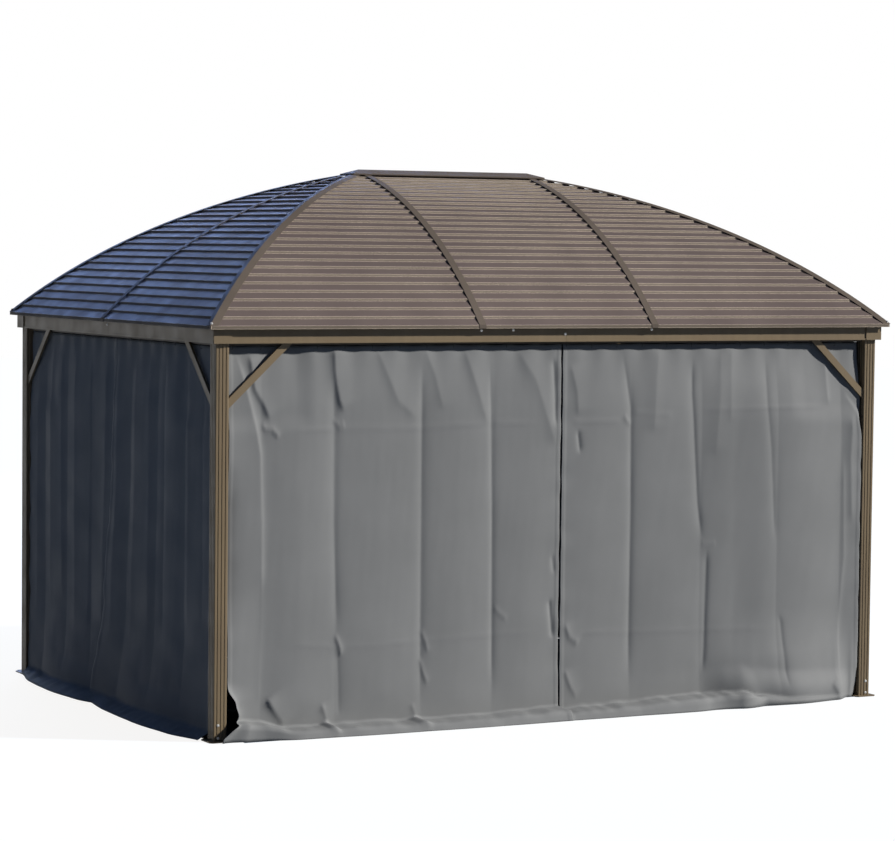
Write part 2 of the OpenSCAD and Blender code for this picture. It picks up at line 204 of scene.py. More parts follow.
def enamel(name, c):
    mat, nodeSet, links, shader = startMaterial(name)
    coords = nodeSet.new("ShaderNodeTexCoord").outputs["Object"]
    blotch = noiseNode(nodeSet, links, coords, enamelSet["blotch"], detail=5)
    tint = rampNode(nodeSet, links, blotch, zip(enamelSet["blotchStops"], c["paint"]))
    runs = noiseNode(nodeSet, links, coords, 1.0, detail=4, stretch=c["streak"])
    streaks = zip(enamelSet["streakStops"], greys(*enamelSet["streakShades"]))
    colour = multiply(nodeSet, links, tint, rampNode(nodeSet, links, runs, streaks))
    shader.inputs["Specular IOR Level"].default_value = c["shine"]
    # paints highlight onto the ribs' steep noses and bends
    if "noseLight" in c:
        colour = paintNoseLight(nodeSet, links, shader, colour, c)
    links.new(colour, shader.inputs["Base Color"])
    sheen = noiseNode(nodeSet, links, coords, enamelSet["sheen"])
    rough = greys(*(c["rough"] + spread for spread in enamelSet["sheenSpread"]))
    roughness = rampNode(nodeSet, links, sheen, zip(enamelSet["sheenStops"], rough))
    links.new(roughness, shader.inputs["Roughness"])
    peel = noiseNode(nodeSet, links, coords, enamelSet["peel"], detail=2)
    bump = bumpNode(nodeSet, links, peel, enamelSet["peelStrength"], enamelSet["peelHigh"])
    links.new(bump, shader.inputs["Normal"])
    return mat


# metal whose colour and roughness follow one noise
def speckled(name, c):
    mat, nodeSet, links, shader = startMaterial(name)
    coords = nodeSet.new("ShaderNodeTexCoord").outputs["Object"]
    specks = noiseNode(nodeSet, links, coords, c["scale"], c["detail"], c["stretch"])
    colour = rampNode(nodeSet, links, specks, zip(c["stops"], c["paint"]))
    links.new(colour, shader.inputs["Base Color"])
    roughness = rampNode(nodeSet, links, specks, zip(c["stops"], greys(*c["rough"])))
    links.new(roughness, shader.inputs["Roughness"])
    shader.inputs["Specular IOR Level"].default_value = c["shine"]
    shader.inputs["Metallic"].default_value = c["metal"]
    return mat


# drawn aluminium with lengthwise scratches
railSet = {
    "scale": 6.0, "detail": 4, "stretch": (3, 3, 90), "stops": (0.3, 0.7),
    "paint": ((0.050, 0.042, 0.034), (0.074, 0.062, 0.050)),
    "rough": (0.46, 0.58), "shine": 0.2, "metal": 0.0,
}
# spotted zinc on the screws
zincSet = {
    "scale": 180.0, "detail": 3, "stretch": None, "stops": (0.3, 0.7),
    "paint": ((0.52, 0.52, 0.50), (0.64, 0.64, 0.62)),
    "rough": (0.34, 0.5), "shine": 0.5, "metal": 0.5,
}

# woven polyester, in the cloth's own metres; paint runs from dark to light
clothSet = {
    "paint": ((0.203, 0.207, 0.206), (0.217, 0.221, 0.220), (0.231, 0.235, 0.234)),
    "cloud": 2.2, "cloudStops": (0.3, 0.52, 0.74),
    "warp": (900, 60, 1), "weft": (60, 900, 1), "threadStrength": 0.18, "threadHigh": 0.0006,
    "rub": 5.0, "rubStops": (0.3, 0.7), "rough": (0.58, 0.72),
    "shine": 0.12, "fuzz": 0.06, "fuzzRough": 0.45,
}


def polyester(name, c):
    mat, nodeSet, links, shader = startMaterial(name)
    coords = nodeSet.new("ShaderNodeTexCoord").outputs["UV"]
    cloud = noiseNode(nodeSet, links, coords, c["cloud"], detail=5)
    colour = rampNode(nodeSet, links, cloud, zip(c["cloudStops"], c["paint"]))
    links.new(colour, shader.inputs["Base Color"])
    bump = None
    for threads in (c["warp"], c["weft"]):
        lines = noiseNode(nodeSet, links, coords, 1.0, stretch=threads)
        bump = bumpNode(nodeSet, links, lines, c["threadStrength"], c["threadHigh"], bump)
    links.new(bump, shader.inputs["Normal"])
    rub = noiseNode(nodeSet, links, coords, c["rub"], detail=4)
    roughness = rampNode(nodeSet, links, rub, zip(c["rubStops"], greys(*c["rough"])))
    links.new(roughness, shader.inputs["Roughness"])
    shader.inputs["Specular IOR Level"].default_value = c["shine"]
    shader.inputs["Sheen Weight"].default_value = c["fuzz"]
    shader.inputs["Sheen Roughness"].default_value = c["fuzzRough"]
    return mat


framePaint, roofPaint, coverPaint = [enamel(name, c) for name, c in enamels.items()]
railMetal = speckled("bronze anodised aluminium", railSet)
zinc = speckled("zinc plate", zincSet)
curtainCloth = polyester("grey polyester", clothSet)

paintFor = {
    "frame_paint": framePaint,
    "roof_paint": roofPaint,
    "cover_paint": coverPaint,
    "rail_aluminium": railMetal,
    "curtain_cloth": curtainCloth,
}
for part in nodes.values():
    for place in part.material_slots:
        if place.material:
            place.material = paintFor[place.material.name.split(".")[0]]
print("paint on", len(nodes), "parts")


# curtains: grids of cloth shaped along crease lines, seen from outside, left to right

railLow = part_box("curtain_rails")[0][2]
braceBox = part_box("front_left_braces")
braceLow = braceBox[0][2]
braceReach = braceBox[1][0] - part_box("front_left_post")[1][0]
curtainSet = {
    # grid steps across and down, finest where the photo looks
    "steps": {
        "front": (0.0072, 0.0150), "left": (0.0105, 0.0170),
        "back": (0.0190, 0.0190), "right": (0.0190, 0.0190),
    },
    "edgeLines": (0, 0.004, 0.013, 0.0205, 0.0235), "gridInset": 0.034,
    "foldGain": {"front": 0.78, "left": 0.42, "back": 0.8, "right": 0.8},
    "headerTop": railLow - 0.0015, "hemUp": 0.0015, "lowest": 0.002,    # heights over the ground
    "forward": 0.006, "hookPitch": 0.166,
    "thick": 0.0012, "hemBand": 0.022, "hemTurn": 0.001, "hemStep": 0.0009,
}

# line: points (across, height), height of the fold, width on its left, width on its right
frontLeftFolds = [
    ([(0.03, 2.06), (0.10, 1.84), (0.15, 1.66), (0.182, 1.49), (0.192, 1.15), (0.195, 0.70)],
     0.011, 0.07, 0.016),
    ([(0.195, 0.80), (0.19, 0.45), (0.183, 0.16)], 0.004, 0.03, 0.02),
    ([(0.120, 2.02), (0.140, 1.90), (0.152, 1.83), (0.205, 1.75), (0.245, 1.66)], 0.013, 0.014, 0.06),
    ([(0.185, 1.645), (0.215, 1.622), (0.250, 1.618), (0.290, 1.578)], 0.009, 0.010, 0.016),
    ([(0.604, 2.06), (0.612, 1.92), (0.624, 1.84), (0.642, 1.76), (0.672, 1.70)], 0.013, 0.016, 0.08),
    ([(0.602, 1.664), (0.640, 1.632), (0.674, 1.640)], 0.006, 0.010, 0.014),
    ([(0.607, 1.95), (0.612, 1.60), (0.614, 1.13), (0.640, 0.50)], -0.007, 0.03, 0.02),
    ([(0.640, 0.44), (0.647, 0.28), (0.650, 0.08)], -0.006, 0.02, 0.02),
    ([(0.622, 0.52), (0.640, 0.488), (0.654, 0.452), (0.656, 0.41)], 0.009, 0.009, 0.014),
    ([(0.850, 2.06), (0.985, 1.76), (1.113, 1.66)], 0.007, 0.03, 0.07),
    ([(1.129, 2.0), (1.135, 1.12), (1.137, 0.52), (1.137, 0.12)], -0.007, 0.022, 0.024),
    ([(1.141, 2.05), (1.206, 1.90), (1.26, 1.70)], 0.005, 0.025, 0.05),
    ([(1.380, 2.05), (1.45, 1.86), (1.533, 1.62)], 0.007, 0.03, 0.06),
    ([(1.543, 2.0), (1.556, 1.60), (1.568, 1.10), (1.577, 0.12)], -0.008, 0.016, 0.018),
    ([(1.700, 2.05), (1.827, 1.86), (1.966, 1.48)], 0.008, 0.04, 0.08),
    ([(1.940, 1.99), (1.950, 1.80), (1.957, 1.60)], -0.012, 0.016, 0.016),
    ([(1.580, 0.63), (1.620, 0.59), (1.665, 0.555)], 0.004, 0.010, 0.014),
    ([(1.135, 0.53), (1.165, 0.46), (1.180, 0.40)], 0.005, 0.010, 0.014),
    ([(1.130, 0.38), (1.150, 0.30), (1.178, 0.23)], 0.006, 0.010, 0.016),
    ([(0.225, 0.21), (0.270, 0.14), (0.335, 0.055)], 0.022, 0.020, 0.05),
    ([(0.545, 0.16), (0.570, 0.10), (0.585, 0.02)], 0.016, 0.016, 0.022),
    ([(1.080, 0.13), (1.100, 0.08), (1.115, 0.02)], 0.012, 0.014, 0.02),
    ([(0.29, 1.612), (0.53, 1.616), (0.73, 1.621), (1.11, 1.614), (1.56, 1.635), (1.90, 1.622)],
     0.0028, 0.010, 0.010),
    ([(0.26, 0.495), (0.62, 0.462), (0.84, 0.458), (1.57, 0.478), (1.93, 0.482)], 0.0022, 0.010, 0.010),
    ([(1.930, 0.66), (1.940, 0.56), (1.952, 0.44)], -0.012, 0.014, 0.014),
    ([(1.945, 0.90), (1.955, 0.80)], -0.008, 0.012, 0.012),
]
frontRightFolds = [
    ([(0.372, 2.06), (0.415, 1.85), (0.440, 1.70), (0.449, 1.16), (0.445, 0.40), (0.446, 0.15)],
     -0.008, 0.022, 0.018),
    ([(0.05, 1.95), (0.09, 1.80), (0.10, 1.66)], 0.006, 0.02, 0.06),
    ([(0.390, 1.66), (0.415, 1.628), (0.440, 1.610)], 0.006, 0.010, 0.014),
    ([(0.10, 1.58), (0.115, 1.46)], -0.010, 0.012, 0.014),
    ([(0.843, 2.0), (0.838, 1.78), (0.860, 1.45), (0.883, 1.15), (0.915, 0.93)], -0.009, 0.030, 0.014),
    ([(0.945, 0.91), (0.940, 0.60), (0.934, 0.33), (0.922, 0.18)], -0.009, 0.026, 0.014),
    ([(0.905, 0.925), (0.960, 0.928), (1.00, 0.932)], 0.003, 0.010, 0.010),
    ([(0.62, 2.05), (0.60, 1.85), (0.585, 1.55)], 0.006, 0.05, 0.05),
    ([(1.03, 2.05), (1.02, 1.80), (0.985, 1.40)], 0.006, 0.05, 0.06),
    ([(1.10, 2.05), (1.09, 1.84), (1.08, 1.60)], 0.004, 0.03, 0.04),
    ([(1.330, 2.0), (1.328, 1.69), (1.355, 1.46), (1.39, 0.90)], -0.006, 0.024, 0.020),
    ([(1.415, 0.52), (1.434, 0.46), (1.445, 0.28), (1.451, 0.08)], -0.006, 0.024, 0.014),
    ([(1.736, 2.02), (1.745, 1.84), (1.754, 1.69)], 0.005, 0.03, 0.014),
    ([(1.864, 1.44), (1.880, 0.83), (1.835, 0.32), (1.838, 0.04)], 0.005, 0.03, 0.016),
    ([(1.93, 1.66), (1.915, 1.40), (1.93, 1.00)], 0.008, 0.03, 0.03),
    ([(1.770, 0.10), (1.800, 0.05), (1.830, 0.02)], 0.020, 0.016, 0.05),
    ([(0.05, 1.628), (0.385, 1.629)], 0.0028, 0.010, 0.010),
    ([(0.448, 1.676), (0.71, 1.658)], 0.0022, 0.010, 0.010),
    ([(0.865, 1.688), (1.33, 1.690), (1.755, 1.691)], 0.0032, 0.010, 0.010),
    ([(0.04, 0.466), (0.44, 0.453), (0.93, 0.442), (1.40, 0.434)], 0.0024, 0.010, 0.010),
    ([(0.03, 0.52), (0.06, 0.44), (0.12, 0.40)], 0.008, 0.014, 0.03),
    ([(0.03, 0.26), (0.07, 0.16), (0.11, 0.10)], 0.008, 0.014, 0.03),
]
leftBackFolds = [
    ([(0.12, 2.05), (0.14, 1.40), (0.13, 0.30)], 0.009, 0.04, 0.05),
    ([(0.36, 2.05), (0.35, 1.60), (0.36, 0.40)], 0.010, 0.03, 0.05),
    ([(0.53, 2.05), (0.53, 1.50), (0.55, 0.50)], 0.010, 0.05, 0.03),
    ([(0.755, 2.05), (0.76, 1.30), (0.77, 0.30)], 0.011, 0.05, 0.04),
    ([(0.98, 2.05), (0.99, 1.30), (0.95, 0.30)], 0.011, 0.06, 0.04),
    ([(1.24, 2.05), (1.22, 1.30), (1.16, 0.30)], 0.012, 0.07, 0.04),
]
leftFrontFolds = [
    ([(0.06, 2.05), (0.07, 1.20), (0.10, 0.30)], 0.012, 0.04, 0.06),
    ([(0.30, 2.05), (0.31, 1.30), (0.33, 0.30)], 0.010, 0.05, 0.05),
    ([(0.50, 2.05), (0.52, 1.20), (0.54, 0.40)], 0.009, 0.04, 0.05),
    ([(0.715, 2.05), (0.72, 1.20), (0.73, 0.40)], -0.010, 0.03, 0.03),
    ([(1.02, 2.05), (1.04, 1.20), (1.05, 0.50)], 0.010, 0.05, 0.05),
    ([(1.22, 2.05), (1.23, 1.20), (1.24, 0.50)], -0.008, 0.03, 0.03),
]


def smooth(edge0, edge1, x):
    t = np.clip((x - edge0) / (edge1 - edge0), 0, 1)
    return t * t * (3 - 2 * t)


# value along a row of (place, value) points, eased from one to the next
def eased(x, points):
    at, level = zip(*sorted(points))
    out = np.full(x.shape, float(level[0]))
    for a, b, low, high in zip(at, at[1:], level, level[1:]):
        out += (high - low) * smooth(a, b, x)
    return out


# height added by one fold line; it fades out towards both ends
foldSet = {"fade": 0.14, "roundness": 1.2, "level": 0.3}


def foldLine(across, height, points, rise, leftWidth, rightWidth):
    best = np.full(across.shape, np.inf)
    side = np.zeros(across.shape)
    along = np.zeros(across.shape)
    total = sum(math.dist(p, q) for p, q in zip(points, points[1:]))
    run = 0.0
    for (ax, az), (bx, bz) in zip(points, points[1:]):
        dx, dz = bx - ax, bz - az
        size = math.hypot(dx, dz)
        t = np.clip(((across - ax) * dx + (height - az) * dz) / size**2, 0, 1)
        gapX, gapZ = across - (ax + t * dx), height - (az + t * dz)
        gap = np.hypot(gapX, gapZ)
        near = gap < best
        best = np.where(near, gap, best)
        level = abs(dz) < foldSet["level"] * abs(dx)
        side = np.where(near, gapZ if level else gapX, side)
        along = np.where(near, (run + t * size) / total, along)
        run += size
    width = np.where(side < 0, leftWidth, rightWidth)
    fade = np.minimum(smooth(0, foldSet["fade"], along), smooth(0, foldSet["fade"], 1 - along))
    return rise * fade * np.exp(-((best / width) ** foldSet["roundness"]))


# soft waves, the same every run
waveSet = {
    # added to the curtain's seed, number of waves, shortest and longest pitch
    "broad": (0, 7, 0.30, 0.80),
    "fine": (50, 9, 0.05, 0.13),
    "hem": (77, 6, 0.06, 0.30),
    "ripple": (9, 6, 0.07, 0.24),
    "edge": (21, 5, 0.40, 1.40),
    "lean": 0.25, "drift": (0.2, 0.6), "swell": 0.5, "swellPhase": 1.7,
}


def softWaves(across, height, seed, kind):
    more, count, low, high = waveSet[kind]
    pick = np.random.RandomState(seed + more)
    total = np.zeros(across.shape)
    for _ in range(count):
        pitch = pick.uniform(low, high)
        lean = pick.uniform(-waveSet["lean"], waveSet["lean"])
        phase = pick.uniform(0, 2 * math.pi)
        drift = pick.uniform(*waveSet["drift"])
        wave = np.sin(2 * math.pi * (across + lean * height) / pitch + phase)
        swell = np.sin(2 * math.pi * height * drift + phase * waveSet["swellPhase"])
        total += wave * (1 + waveSet["swell"] * swell)
    return total / count


# finer towards the side hems
def curtainGrid(width, step):
    fine = np.array(curtainSet["edgeLines"])
    inset = curtainSet["gridInset"]
    middle = np.linspace(inset, width - inset, int(width / step))
    return np.concatenate([fine, middle, width - fine[::-1]])


# the foot turns out at a crease and lies on the ground
hemSet = {
    "waver": 0.006, "waverReach": (0.0, 0.1),             # of the crease, where the hem reaches out
    "shelfEnd": 0.66, "dropStart": 0.60,                  # shares of a hem that lies as a shelf
    "shelfSink": 0.12, "dropSink": 0.88, "shelfReach": 0.9, "dropReach": 0.1,
    "roundness": 0.8,                                     # of a hem without a shelf
    "shelfRipple": 0.006, "ripple": 0.014, "rippleReach": (0.02, 0.1),
    "slideFall": 0.05,
}


def hangCloth(c, across, down):
    top, low = curtainSet["headerTop"], curtainSet["hemUp"]
    crease = eased(across, c["crease"])       # height where the hem turns out
    reach = eased(across, c["reach"])         # how far the hem lies out
    waver = softWaves(across, 0 * across, c["seed"], "hem")
    crease = crease + hemSet["waver"] * waver * smooth(*hemSet["waverReach"], reach)
    upright = top - crease
    wallDown = down * upright / (c["flat"][1] - np.hypot(reach, crease - low))
    pastCrease = np.maximum(wallDown[-1] - upright[-1], 1e-6)
    onFloor = np.clip((wallDown - upright) / pastCrease, 0, 1)
    if c["shelf"]:    # the edge of the shelf drops to the ground
        flat = np.clip(onFloor / hemSet["shelfEnd"], 0, 1)
        drop = smooth(hemSet["dropStart"], 1.0, onFloor)
        sink = hemSet["shelfSink"] * flat + hemSet["dropSink"] * drop
        outward = reach * (hemSet["shelfReach"] * flat + hemSet["dropReach"] * drop)
    else:
        sink = onFloor ** hemSet["roundness"]
        outward = reach * onFloor
    height = np.where(wallDown <= upright, top - wallDown, crease + (low - crease) * sink)
    return crease, reach, onFloor, height, outward


# the upright cloth above the crease
wallSet = {
    "blend": 0.16, "onHem": 0.35,                         # the hem keeps this share of the folds
    "puffFade": 0.35, "pillowRound": 1.7, "broad": 0.0018, "fine": 0.0003,
    "pinchFall": 0.10, "pinch": 0.0035, "sag": 0.004,     # between the hooks
    "windTop": (0.05, 0.45), "windFoot": (0.0, 0.3), "swingHigh": 0.55,
}


# panels that stand out between the creases left by packing
def pillow(across, edges, rise):
    out = np.zeros(across.shape)
    for a, b in zip(edges, edges[1:]):
        t = (across - a) / (b - a)
        inside = (t >= 0) & (t <= 1)
        out = np.where(inside, rise * (1 - np.abs(2 * t - 1) ** wallSet["pillowRound"]), out)
    return out


def foldCloth(c, foldGain, across, height):
    shape = np.zeros(across.shape)
    for fold in c["folds"]:
        shape += foldGain * foldLine(across, height, *fold)
    fromTop = curtainSet["headerTop"] - height
    shape += pillow(across, c["panels"], c["puff"]) * smooth(0.0, wallSet["puffFade"], fromTop)
    shape += wallSet["broad"] * softWaves(across, height, c["seed"], "broad")
    shape += wallSet["fine"] * softWaves(across, height, c["seed"], "fine")
    return shape


# ruffled side edges, and a corner drawn over the next curtain
edgeSet = {
    "ruffleFall": 0.045, "ruffleStretch": 0.2,
    "flutter": 0.35, "flutterRates": (23, 41), "flutterTurn": 1.7,
    "meetFall": 0.40, "meetOut": 0.10,
}


def ruffleEdges(c, across, height):
    left, right = c["ruffle"]
    fall = edgeSet["ruffleFall"]
    size = np.exp(-across / fall) * left + np.exp(-(c["width"] - across) / fall) * right
    slow, fast = edgeSet["flutterRates"]
    flutter = np.sin(height * slow + c["seed"])
    flutter += np.sin(height * fast + edgeSet["flutterTurn"] * c["seed"])
    waves = softWaves(across * edgeSet["ruffleStretch"], height, c["seed"], "edge")
    return size * waves + size * edgeSet["flutter"] * flutter


# the cloth lies against the back of the knee brace, and may stand out more away from it
braceSet = {"clear": 0.0045, "ease": (0.14, 0.02), "press": 0.009, "band": 0.05, "freedom": 0.35}


def behindBrace(fromPost, height, outward):
    rise = curtainSet["headerTop"] - braceLow
    slant = math.hypot(braceReach, rise)
    offLine = np.abs((height - braceLow) * braceReach - fromPost * rise) / slant
    far, close = braceSet["ease"]
    corner = smooth(braceLow - far, braceLow - close, height)
    corner = corner * smooth(braceReach + far, braceReach + close, fromPost)
    pressed = outward - braceSet["press"] * corner
    most = braceSet["clear"] + braceSet["freedom"] * np.clip(offLine - braceSet["band"], 0, 1)
    return np.where(corner > 0, np.minimum(pressed, most), pressed)


# returns points in (across, outward, height), and the flat lengths for the weave
def shapeCurtain(c, foldGain, acrossStep, downStep):
    width = c["width"]
    flatWidth, flatLength = c["flat"]
    top = curtainSet["headerTop"]
    rows = np.linspace(0, 1, int(flatLength / downStep))
    across, down = np.meshgrid(curtainGrid(width, acrossStep), rows * flatLength)
    fromPost, fromMeet = (across, width - across) if c["postLeft"] else (width - across, across)

    crease, reach, onFloor, height, outward = hangCloth(c, across, down)
    wall = smooth(0, wallSet["blend"], height - crease)
    shape = foldCloth(c, foldGain, across, height)
    # pinched between the hooks at the header
    pull = np.exp(-(top - height) / wallSet["pinchFall"])
    pitch = curtainSet["hookPitch"]
    shape += wallSet["pinch"] * pull * np.sin(2 * math.pi * across / pitch + c["seed"])
    height = height - wallSet["sag"] * pull * np.abs(np.sin(math.pi * across / pitch))
    outward = outward + shape * (wallSet["onHem"] + (1 - wallSet["onHem"]) * wall)

    # the wind's broad bulge, none at the rail and the ground
    wind = smooth(*wallSet["windTop"], top - height) * smooth(*wallSet["windFoot"], height)
    outward += eased(across, c["bulge"]) * wind
    # swing of the lower cloth towards the outside
    swing = eased(across, c["swing"])
    outward += swing * np.clip(1 - height / wallSet["swingHigh"], 0, 1) ** 2 * wall + swing * (1 - wall)
    # ripples where the hem lies on the ground
    ripple = 0.5 + 0.5 * softWaves(across, outward * 2, c["seed"], "ripple")
    high = hemSet["shelfRipple"] if c["shelf"] else hemSet["ripple"]
    height += high * ripple * np.sin(math.pi * onFloor) * smooth(*hemSet["rippleReach"], reach)

    outward += ruffleEdges(c, across, height) * wall
    moved = across.copy()
    # edge by the post: shifted along, and standing out
    for points, fall in c.get("edgeShift", []):
        moved += eased(height, points) * np.exp(-fromPost / fall)
    for points, fall in c.get("edgeOut", []):
        outward += eased(height, points) * np.exp(-fromPost / fall)
    # the foot slides along the ground at the meeting edge
    moved += c.get("footSlide", 0) * onFloor * np.exp(-fromMeet / hemSet["slideFall"])
    # one curtain's lower corner drawn over the next one
    if "meetShift" in c:
        drawn = eased(height, c["meetShift"]) * np.exp(-fromMeet / edgeSet["meetFall"])
        moved += drawn
        outward += edgeSet["meetOut"] * np.abs(drawn)

    # doubled cloth along the side hems
    band, turnIn = curtainSet["hemBand"], curtainSet["hemTurn"]
    fromSide = np.minimum(across, width - across)
    outward += curtainSet["hemStep"] * smooth(band + turnIn, band - turnIn, fromSide)

    outward = behindBrace(moved if c["postLeft"] else width - moved, height, outward)
    height = np.maximum(height, curtainSet["lowest"])
    points = np.stack([moved, outward, height], axis=-1)
    weave = np.stack([across / width * flatWidth, flatLength - down], axis=-1)
    return points, weave


def cloth(name, points, weave, origin, alongAxis, outAxis):
    rows, cols = points.shape[:2]
    origin, alongAxis, outAxis = (np.array(v, float) for v in (origin, alongAxis, outAxis))
    places = (
        origin
        + points[..., 0:1] * alongAxis
        + points[..., 1:2] * outAxis
        + points[..., 2:3] * np.array([0, 0, 1.0])
    ).reshape(-1, 3)
    faces = []
    for i in range(rows - 1):
        for j in range(cols - 1):
            a = i * cols + j
            faces.append((a, a + cols, a + cols + 1, a + 1))
    mesh = bpy.data.meshes.new(name)
    mesh.from_pydata(places.tolist(), [], faces)
    layer = mesh.uv_layers.new(name="weave")
    corner = np.empty(len(mesh.loops), dtype=np.int32)
    mesh.loops.foreach_get("vertex_index", corner)
    layer.data.foreach_set("uv", weave.reshape(-1, 2)[corner].ravel())
    mesh.polygons.foreach_set("use_smooth", [True] * len(mesh.polygons))
    piece = bpy.data.objects.new(name, mesh)
    bpy.context.scene.collection.objects.link(piece)
    thicken = piece.modifiers.new("cloth thickness", "SOLIDIFY")
    thicken.thickness, thicken.offset = curtainSet["thick"], 0
    return piece


# where the curtains hang, from the CAD ones
frontCad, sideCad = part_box("front_left_curtain"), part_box("left_back_curtain")
frontY = (frontCad[0][1] + frontCad[1][1]) / 2
backY = -frontY
leftX = (sideCad[0][0] + sideCad[1][0]) / 2
rightX = -leftX
longEnd, longMeet = -frontCad[0][0], -frontCad[1][0]
shortEnd, shortMeet = sideCad[1][1], 0.002
lap = 0.002                   # the back and right curtains pass the middle
backEnd = longEnd + 0.006     # and the back ones hang nearer the posts
longFlat, shortFlat = (2.02, 2.21), (1.39, 2.17)


def mirrored(folds, width):
    return [([(width - a, z) for a, z in p], rise, right, left) for p, rise, left, right in folds]


# start corner, left to right seen from outside, and outward
curtains = {
    "front_left_curtain": {
        "start": (-longEnd, frontY, 0), "along": (1, 0, 0), "out": (0, -1, 0),
        "postLeft": True, "shelf": True, "width": longEnd - longMeet, "flat": longFlat,
        "folds": frontLeftFolds, "seed": 3,
        "panels": [-0.2, 0.19, 0.625, 1.135, 1.57, 2.02], "puff": 0.010,
        "crease": [
            (0, 0.10), (0.09, 0.10), (0.18, 0.085), (0.35, 0.045), (0.53, 0.048), (0.57, 0.060),
            (0.61, 0.042), (0.70, 0.048), (1.05, 0.044), (1.10, 0.056), (1.15, 0.042), (1.46, 0.045),
            (2.0, 0.06)],
        "reach": [(0, 0.06), (0.10, 0.09), (0.4, 0.14), (0.8, 0.155), (1.5, 0.16), (2.0, 0.15)],
        "swing": [(0, 0.0), (2.0, 0.012)], "ruffle": (0.002, 0.004), "bulge": [(0, 0.0), (2.0, 0.0)],
        "edgeShift": [([
            (0, -0.062), (0.03, -0.055), (0.06, -0.015), (0.09, 0.028), (0.135, 0.048), (0.19, 0.036),
            (0.27, 0.0), (2.1, 0.0)], 0.07)],
        # pulled off the post, with its very edge curled
        "edgeOut": [
            ([(0, 0.02), (0.1, 0.040), (0.2, 0.024), (0.30, 0.0), (0.5, -0.002), (0.8, -0.022),
              (1.2, -0.024), (1.5, 0.0), (2.1, 0.0)], 0.06),
            ([(0, 0.012), (0.05, 0.018), (0.14, 0.020), (0.24, 0.012), (0.32, 0.0), (2.1, 0.0)], 0.014)],
        "footSlide": 0.016,
    },
    "front_right_curtain": {
        "start": (longMeet, frontY, 0), "along": (1, 0, 0), "out": (0, -1, 0),
        "postLeft": False, "shelf": True, "width": longEnd - longMeet, "flat": longFlat,
        "folds": frontRightFolds, "seed": 11,
        "panels": [-0.03, 0.445, 0.90, 1.40, 1.85, 2.2], "puff": 0.010,
        "crease": [
            (0, 0.045), (0.36, 0.055), (0.77, 0.075), (1.15, 0.085), (1.25, 0.06), (1.5, 0.035),
            (2.0, 0.02)],
        "reach": [(0, 0.148), (0.8, 0.146), (1.1, 0.105), (1.3, 0.045), (1.5, 0.02), (2.0, 0.0)],
        "swing": [
            (0, 0.01), (0.9, 0.02), (1.25, 0.09), (1.5, 0.13), (1.8, 0.10), (1.93, 0.03), (2.0, 0.0)],
        "ruffle": (0.004, 0.003),
        "bulge": [(0, 0.0), (0.6, 0.004), (1.1, 0.020), (1.4, 0.042), (1.987, 0.014)],
        "edgeShift": [([
            (0, -0.02), (0.04, -0.008), (0.10, 0.0), (1.5, 0.002), (1.62, -0.016), (1.71, -0.002),
            (1.8, -0.012), (2.1, -0.024)], 0.05)],
        "footSlide": -0.012,
    },
}
# the back repeats the front's folds, mirrored
for name, start, postLeft, folds, seed in (
    ("back_left_curtain", lap, False, frontLeftFolds, 23),
    ("back_right_curtain", backEnd, True, frontRightFolds, 17),
):
    curtains[name] = {
        "start": (start, backY, 0), "along": (-1, 0, 0), "out": (0, 1, 0),
        "postLeft": postLeft, "shelf": False, "width": backEnd + lap, "flat": longFlat,
        "folds": mirrored(folds, longEnd - longMeet), "seed": seed,
        "panels": [-0.1, 0.42, 0.85, 1.36, 1.80, 2.1], "puff": 0.012,
        "crease": [(0, 0.06), (0.5, 0.045), (1.0, 0.06), (1.5, 0.05), (2.0, 0.06)],
        "reach": [(0, 0.115), (0.5, 0.13), (1.5, 0.13), (2.0, 0.115)],
        "swing": [(0, 0.0), (2.0, 0.0)], "ruffle": (0.005, 0.005),
        "bulge": [(0, 0.0), (1.0, 0.008), (2.0, 0.0)],
    }
# the right side repeats the left
for name, x, y, width, postLeft, folds, seed in (
    ("left_back_curtain", leftX, shortEnd, shortEnd - shortMeet, True, leftBackFolds, 31),
    ("left_front_curtain", leftX, -shortMeet, shortEnd - shortMeet, False, leftFrontFolds, 37),
    ("right_front_curtain", rightX, -shortEnd, shortEnd + lap, True, leftBackFolds, 41),
    ("right_back_curtain", rightX, -lap, shortEnd + lap, False, leftFrontFolds, 43),
):
    out = math.copysign(1, x)
    curtains[name] = {
        "start": (x, y, 0), "along": (0, out, 0), "out": (out, 0, 0),
        "postLeft": postLeft, "shelf": False, "width": width, "flat": shortFlat,
        "folds": folds, "seed": seed,
        "panels": [-0.1, 0.25, 0.62, 1.0, 1.45], "puff": 0.009,
        "crease": [(0, 0.05), (0.4, 0.04), (0.9, 0.05), (1.4, 0.04)],
        "reach": [(0, 0.05), (0.3, 0.10), (1.1, 0.11), (1.4, 0.06)],
        "swing": [(0, 0.01), (0.7, 0.05), (1.4, 0.01)], "ruffle": (0.005, 0.005),
        "bulge": [(0, 0.0), (0.7, 0.006), (1.4, 0.0)],
    }

curtains["left_front_curtain"]["meetShift"] = [(0.0, -0.28), (0.6, -0.13), (1.3, -0.04), (2.06, 0.0)]
# tied to the far post, slack between the ties
curtains["left_back_curtain"]["edgeShift"] = [([
    (0.0, 0.0), (0.33, 0.0), (0.46, 0.010), (0.60, 0.0), (0.73, 0.010), (0.86, 0.0),
    (0.99, 0.010), (1.12, 0.0), (1.25, 0.010), (1.40, 0.0), (2.1, 0.0)], 0.03)]

